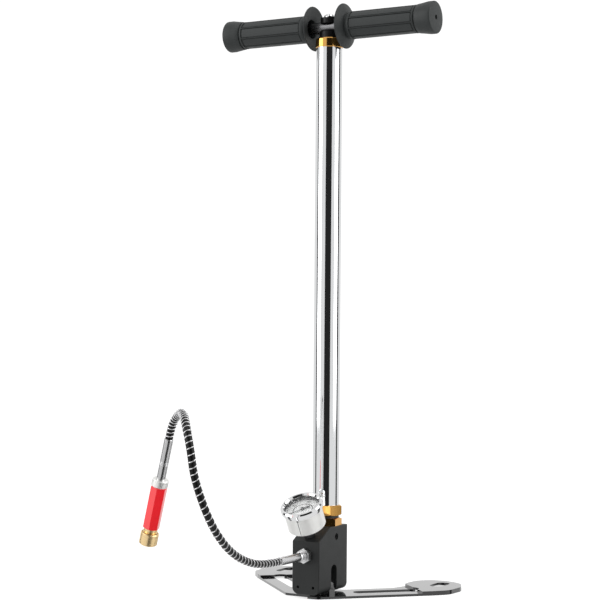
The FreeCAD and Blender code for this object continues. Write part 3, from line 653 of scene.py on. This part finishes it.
def add_case_seam():
    """The case's seam: a fine dark line up its side, with a small plug at the top."""
    rings = []
    for height, half in SEAM_OUTLINE:
        corners = ((SEAM_INNER, -half), (SEAM_OUTER, -half), (SEAM_OUTER, half), (SEAM_INNER, half))
        rings.append([polar(reach, SEAM_ANGLE + turn, height) for reach, turn in corners])
    seam = bar_piece("case_seam", rings, WALL, GAUGE_SMOOTH)
    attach(seam, "base")


add_dial_print()
add_dial_wall()
add_case_seam()


# ---------------------------------------------------------------- stage

BACKDROP_LIGHT = 1.06    # what the camera sees behind the object
BACKDROP_RADIUS = 8
ROOM_LIGHT = 0.8         # what the object is lit by and reflects
FLOOR_REACH = 5
FLOOR_TONE, FLOOR_GLOW = 0.45, 0.68    # the floor gives off some light, so that it reads as white
CARD_DISTANCE = 0.85
CARD_LOW, CARD_HIGH, CARD_STEPS = -0.8, 2.4, 8
LIGHT_HEIGHT = 2.0       # a soft box's own size, upright
LIGHT_AIM = 0.3          # the height on the column that it looks at

# The dark cards and the soft boxes stand at angles round the column, in degrees from the camera's side.
CAMERA_FLAG = (2, 52, 0.02)            # angle, spread and tone
EDGE_FLAG = (101, 15, 0.06)            # the same, on each side
SIDE_BOX = (77, 1.0, 2.2, 1.4, 20)     # angle, height, distance, width and power, on each side
TOP_BOX = (20, 2.4, 0.8, 1.6, 14)


def around(angle, distance, height=0.0):
    """A point at an angle round the column from the camera's side."""
    turn = VIEW_AZIMUTH + math.radians(angle)
    return Vector((math.sin(turn) * distance, -math.cos(turn) * distance, height))


def glowing(name, tone):
    """A plain light-emitting material."""
    material = bpy.data.materials.new(name)
    material.use_nodes = True
    tree = material.node_tree
    tree.nodes.clear()
    glow = add(tree, "ShaderNodeEmission", Color=(tone, tone, tone, 1), Strength=1.0)
    output = add(tree, "ShaderNodeOutputMaterial")
    tree.links.new(glow.outputs["Emission"], output.inputs["Surface"])
    return material


def add_flag(name, angle, spread, tone):
    """A dark card that only shows in reflections. It spans an angle round the column."""
    edges = [around(angle - spread / 2 + spread * i / CARD_STEPS, CARD_DISTANCE)
             for i in range(CARD_STEPS + 1)]
    vertices = [p + Vector((0, 0, z)) for z in (CARD_LOW, CARD_HIGH) for p in edges]
    faces = [(i, i + 1, i + CARD_STEPS + 2, i + CARD_STEPS + 1) for i in range(CARD_STEPS)]
    card = mesh_object(name, vertices, faces, glowing(name, tone))
    card.visible_camera = False
    card.visible_shadow = False
    card.visible_diffuse = False


def add_light(name, angle, height, distance, width, power):
    """A soft box that looks at the column, at an angle round it from the camera's side."""
    data = bpy.data.lights.new(name, "AREA")
    data.shape = "RECTANGLE"
    data.size, data.size_y = width, LIGHT_HEIGHT
    data.energy = power
    light = bpy.data.objects.new(name, data)
    bpy.context.scene.collection.objects.link(light)
    place = around(angle, distance, height)
    back = (place - Vector((0, 0, LIGHT_AIM))).normalized()
    light.matrix_world = Matrix.Translation(place) @ back.to_track_quat("Z", "Y").to_matrix().to_4x4()
    light.visible_camera = False


def add_world():
    """An even white room."""
    world = bpy.data.worlds.new("studio")
    bpy.context.scene.world = world
    world.use_nodes = True
    background = world.node_tree.nodes["Background"]
    background.inputs["Color"].default_value = (1, 1, 1, 1)
    background.inputs["Strength"].default_value = ROOM_LIGHT


def add_backdrop():
    """A white dome that only the camera sees, a little brighter than what lights the object."""
    mesh = bpy.data.meshes.new("backdrop")
    shell = bmesh.new()
    bmesh.ops.create_icosphere(shell, subdivisions=4, radius=BACKDROP_RADIUS)
    shell.to_mesh(mesh)
    shell.free()
    mesh.materials.append(glowing("backdrop", BACKDROP_LIGHT))
    dome = bpy.data.objects.new("backdrop", mesh)
    bpy.context.scene.collection.objects.link(dome)
    dome.visible_diffuse = dome.visible_glossy = dome.visible_transmission = dome.visible_shadow = False


def add_floor():
    """A plain pale floor. It doesn't show in reflections, or light the object from below."""
    material, _, _ = shader("floor", (FLOOR_TONE,) * 3, 0.0, 0.9, Specular_IOR_Level=0.1,
                            Emission_Color=(1, 1, 1, 1), Emission_Strength=FLOOR_GLOW)
    corners = [(x * FLOOR_REACH, y * FLOOR_REACH, 0) for x, y in ((-1, -1), (1, -1), (1, 1), (-1, 1))]
    floor = mesh_object("floor", corners, [(0, 1, 2, 3)], material)
    floor.visible_glossy = floor.visible_diffuse = False


def add_stage():
    """The room, the floor, and the cards and lights that the chrome reflects."""
    add_world()
    add_backdrop()
    add_floor()
    add_flag("camera_flag", *CAMERA_FLAG)
    for name, side in (("left", -1), ("right", 1)):
        angle, *card = EDGE_FLAG
        add_flag(name + "_edge_flag", angle * side, *card)
        angle, *box = SIDE_BOX
        add_light(name + "_soft_box", angle * side, *box)
    add_light("top_box", *TOP_BOX)


add_stage()
bpy.context.scene.view_settings.view_transform = "Standard"
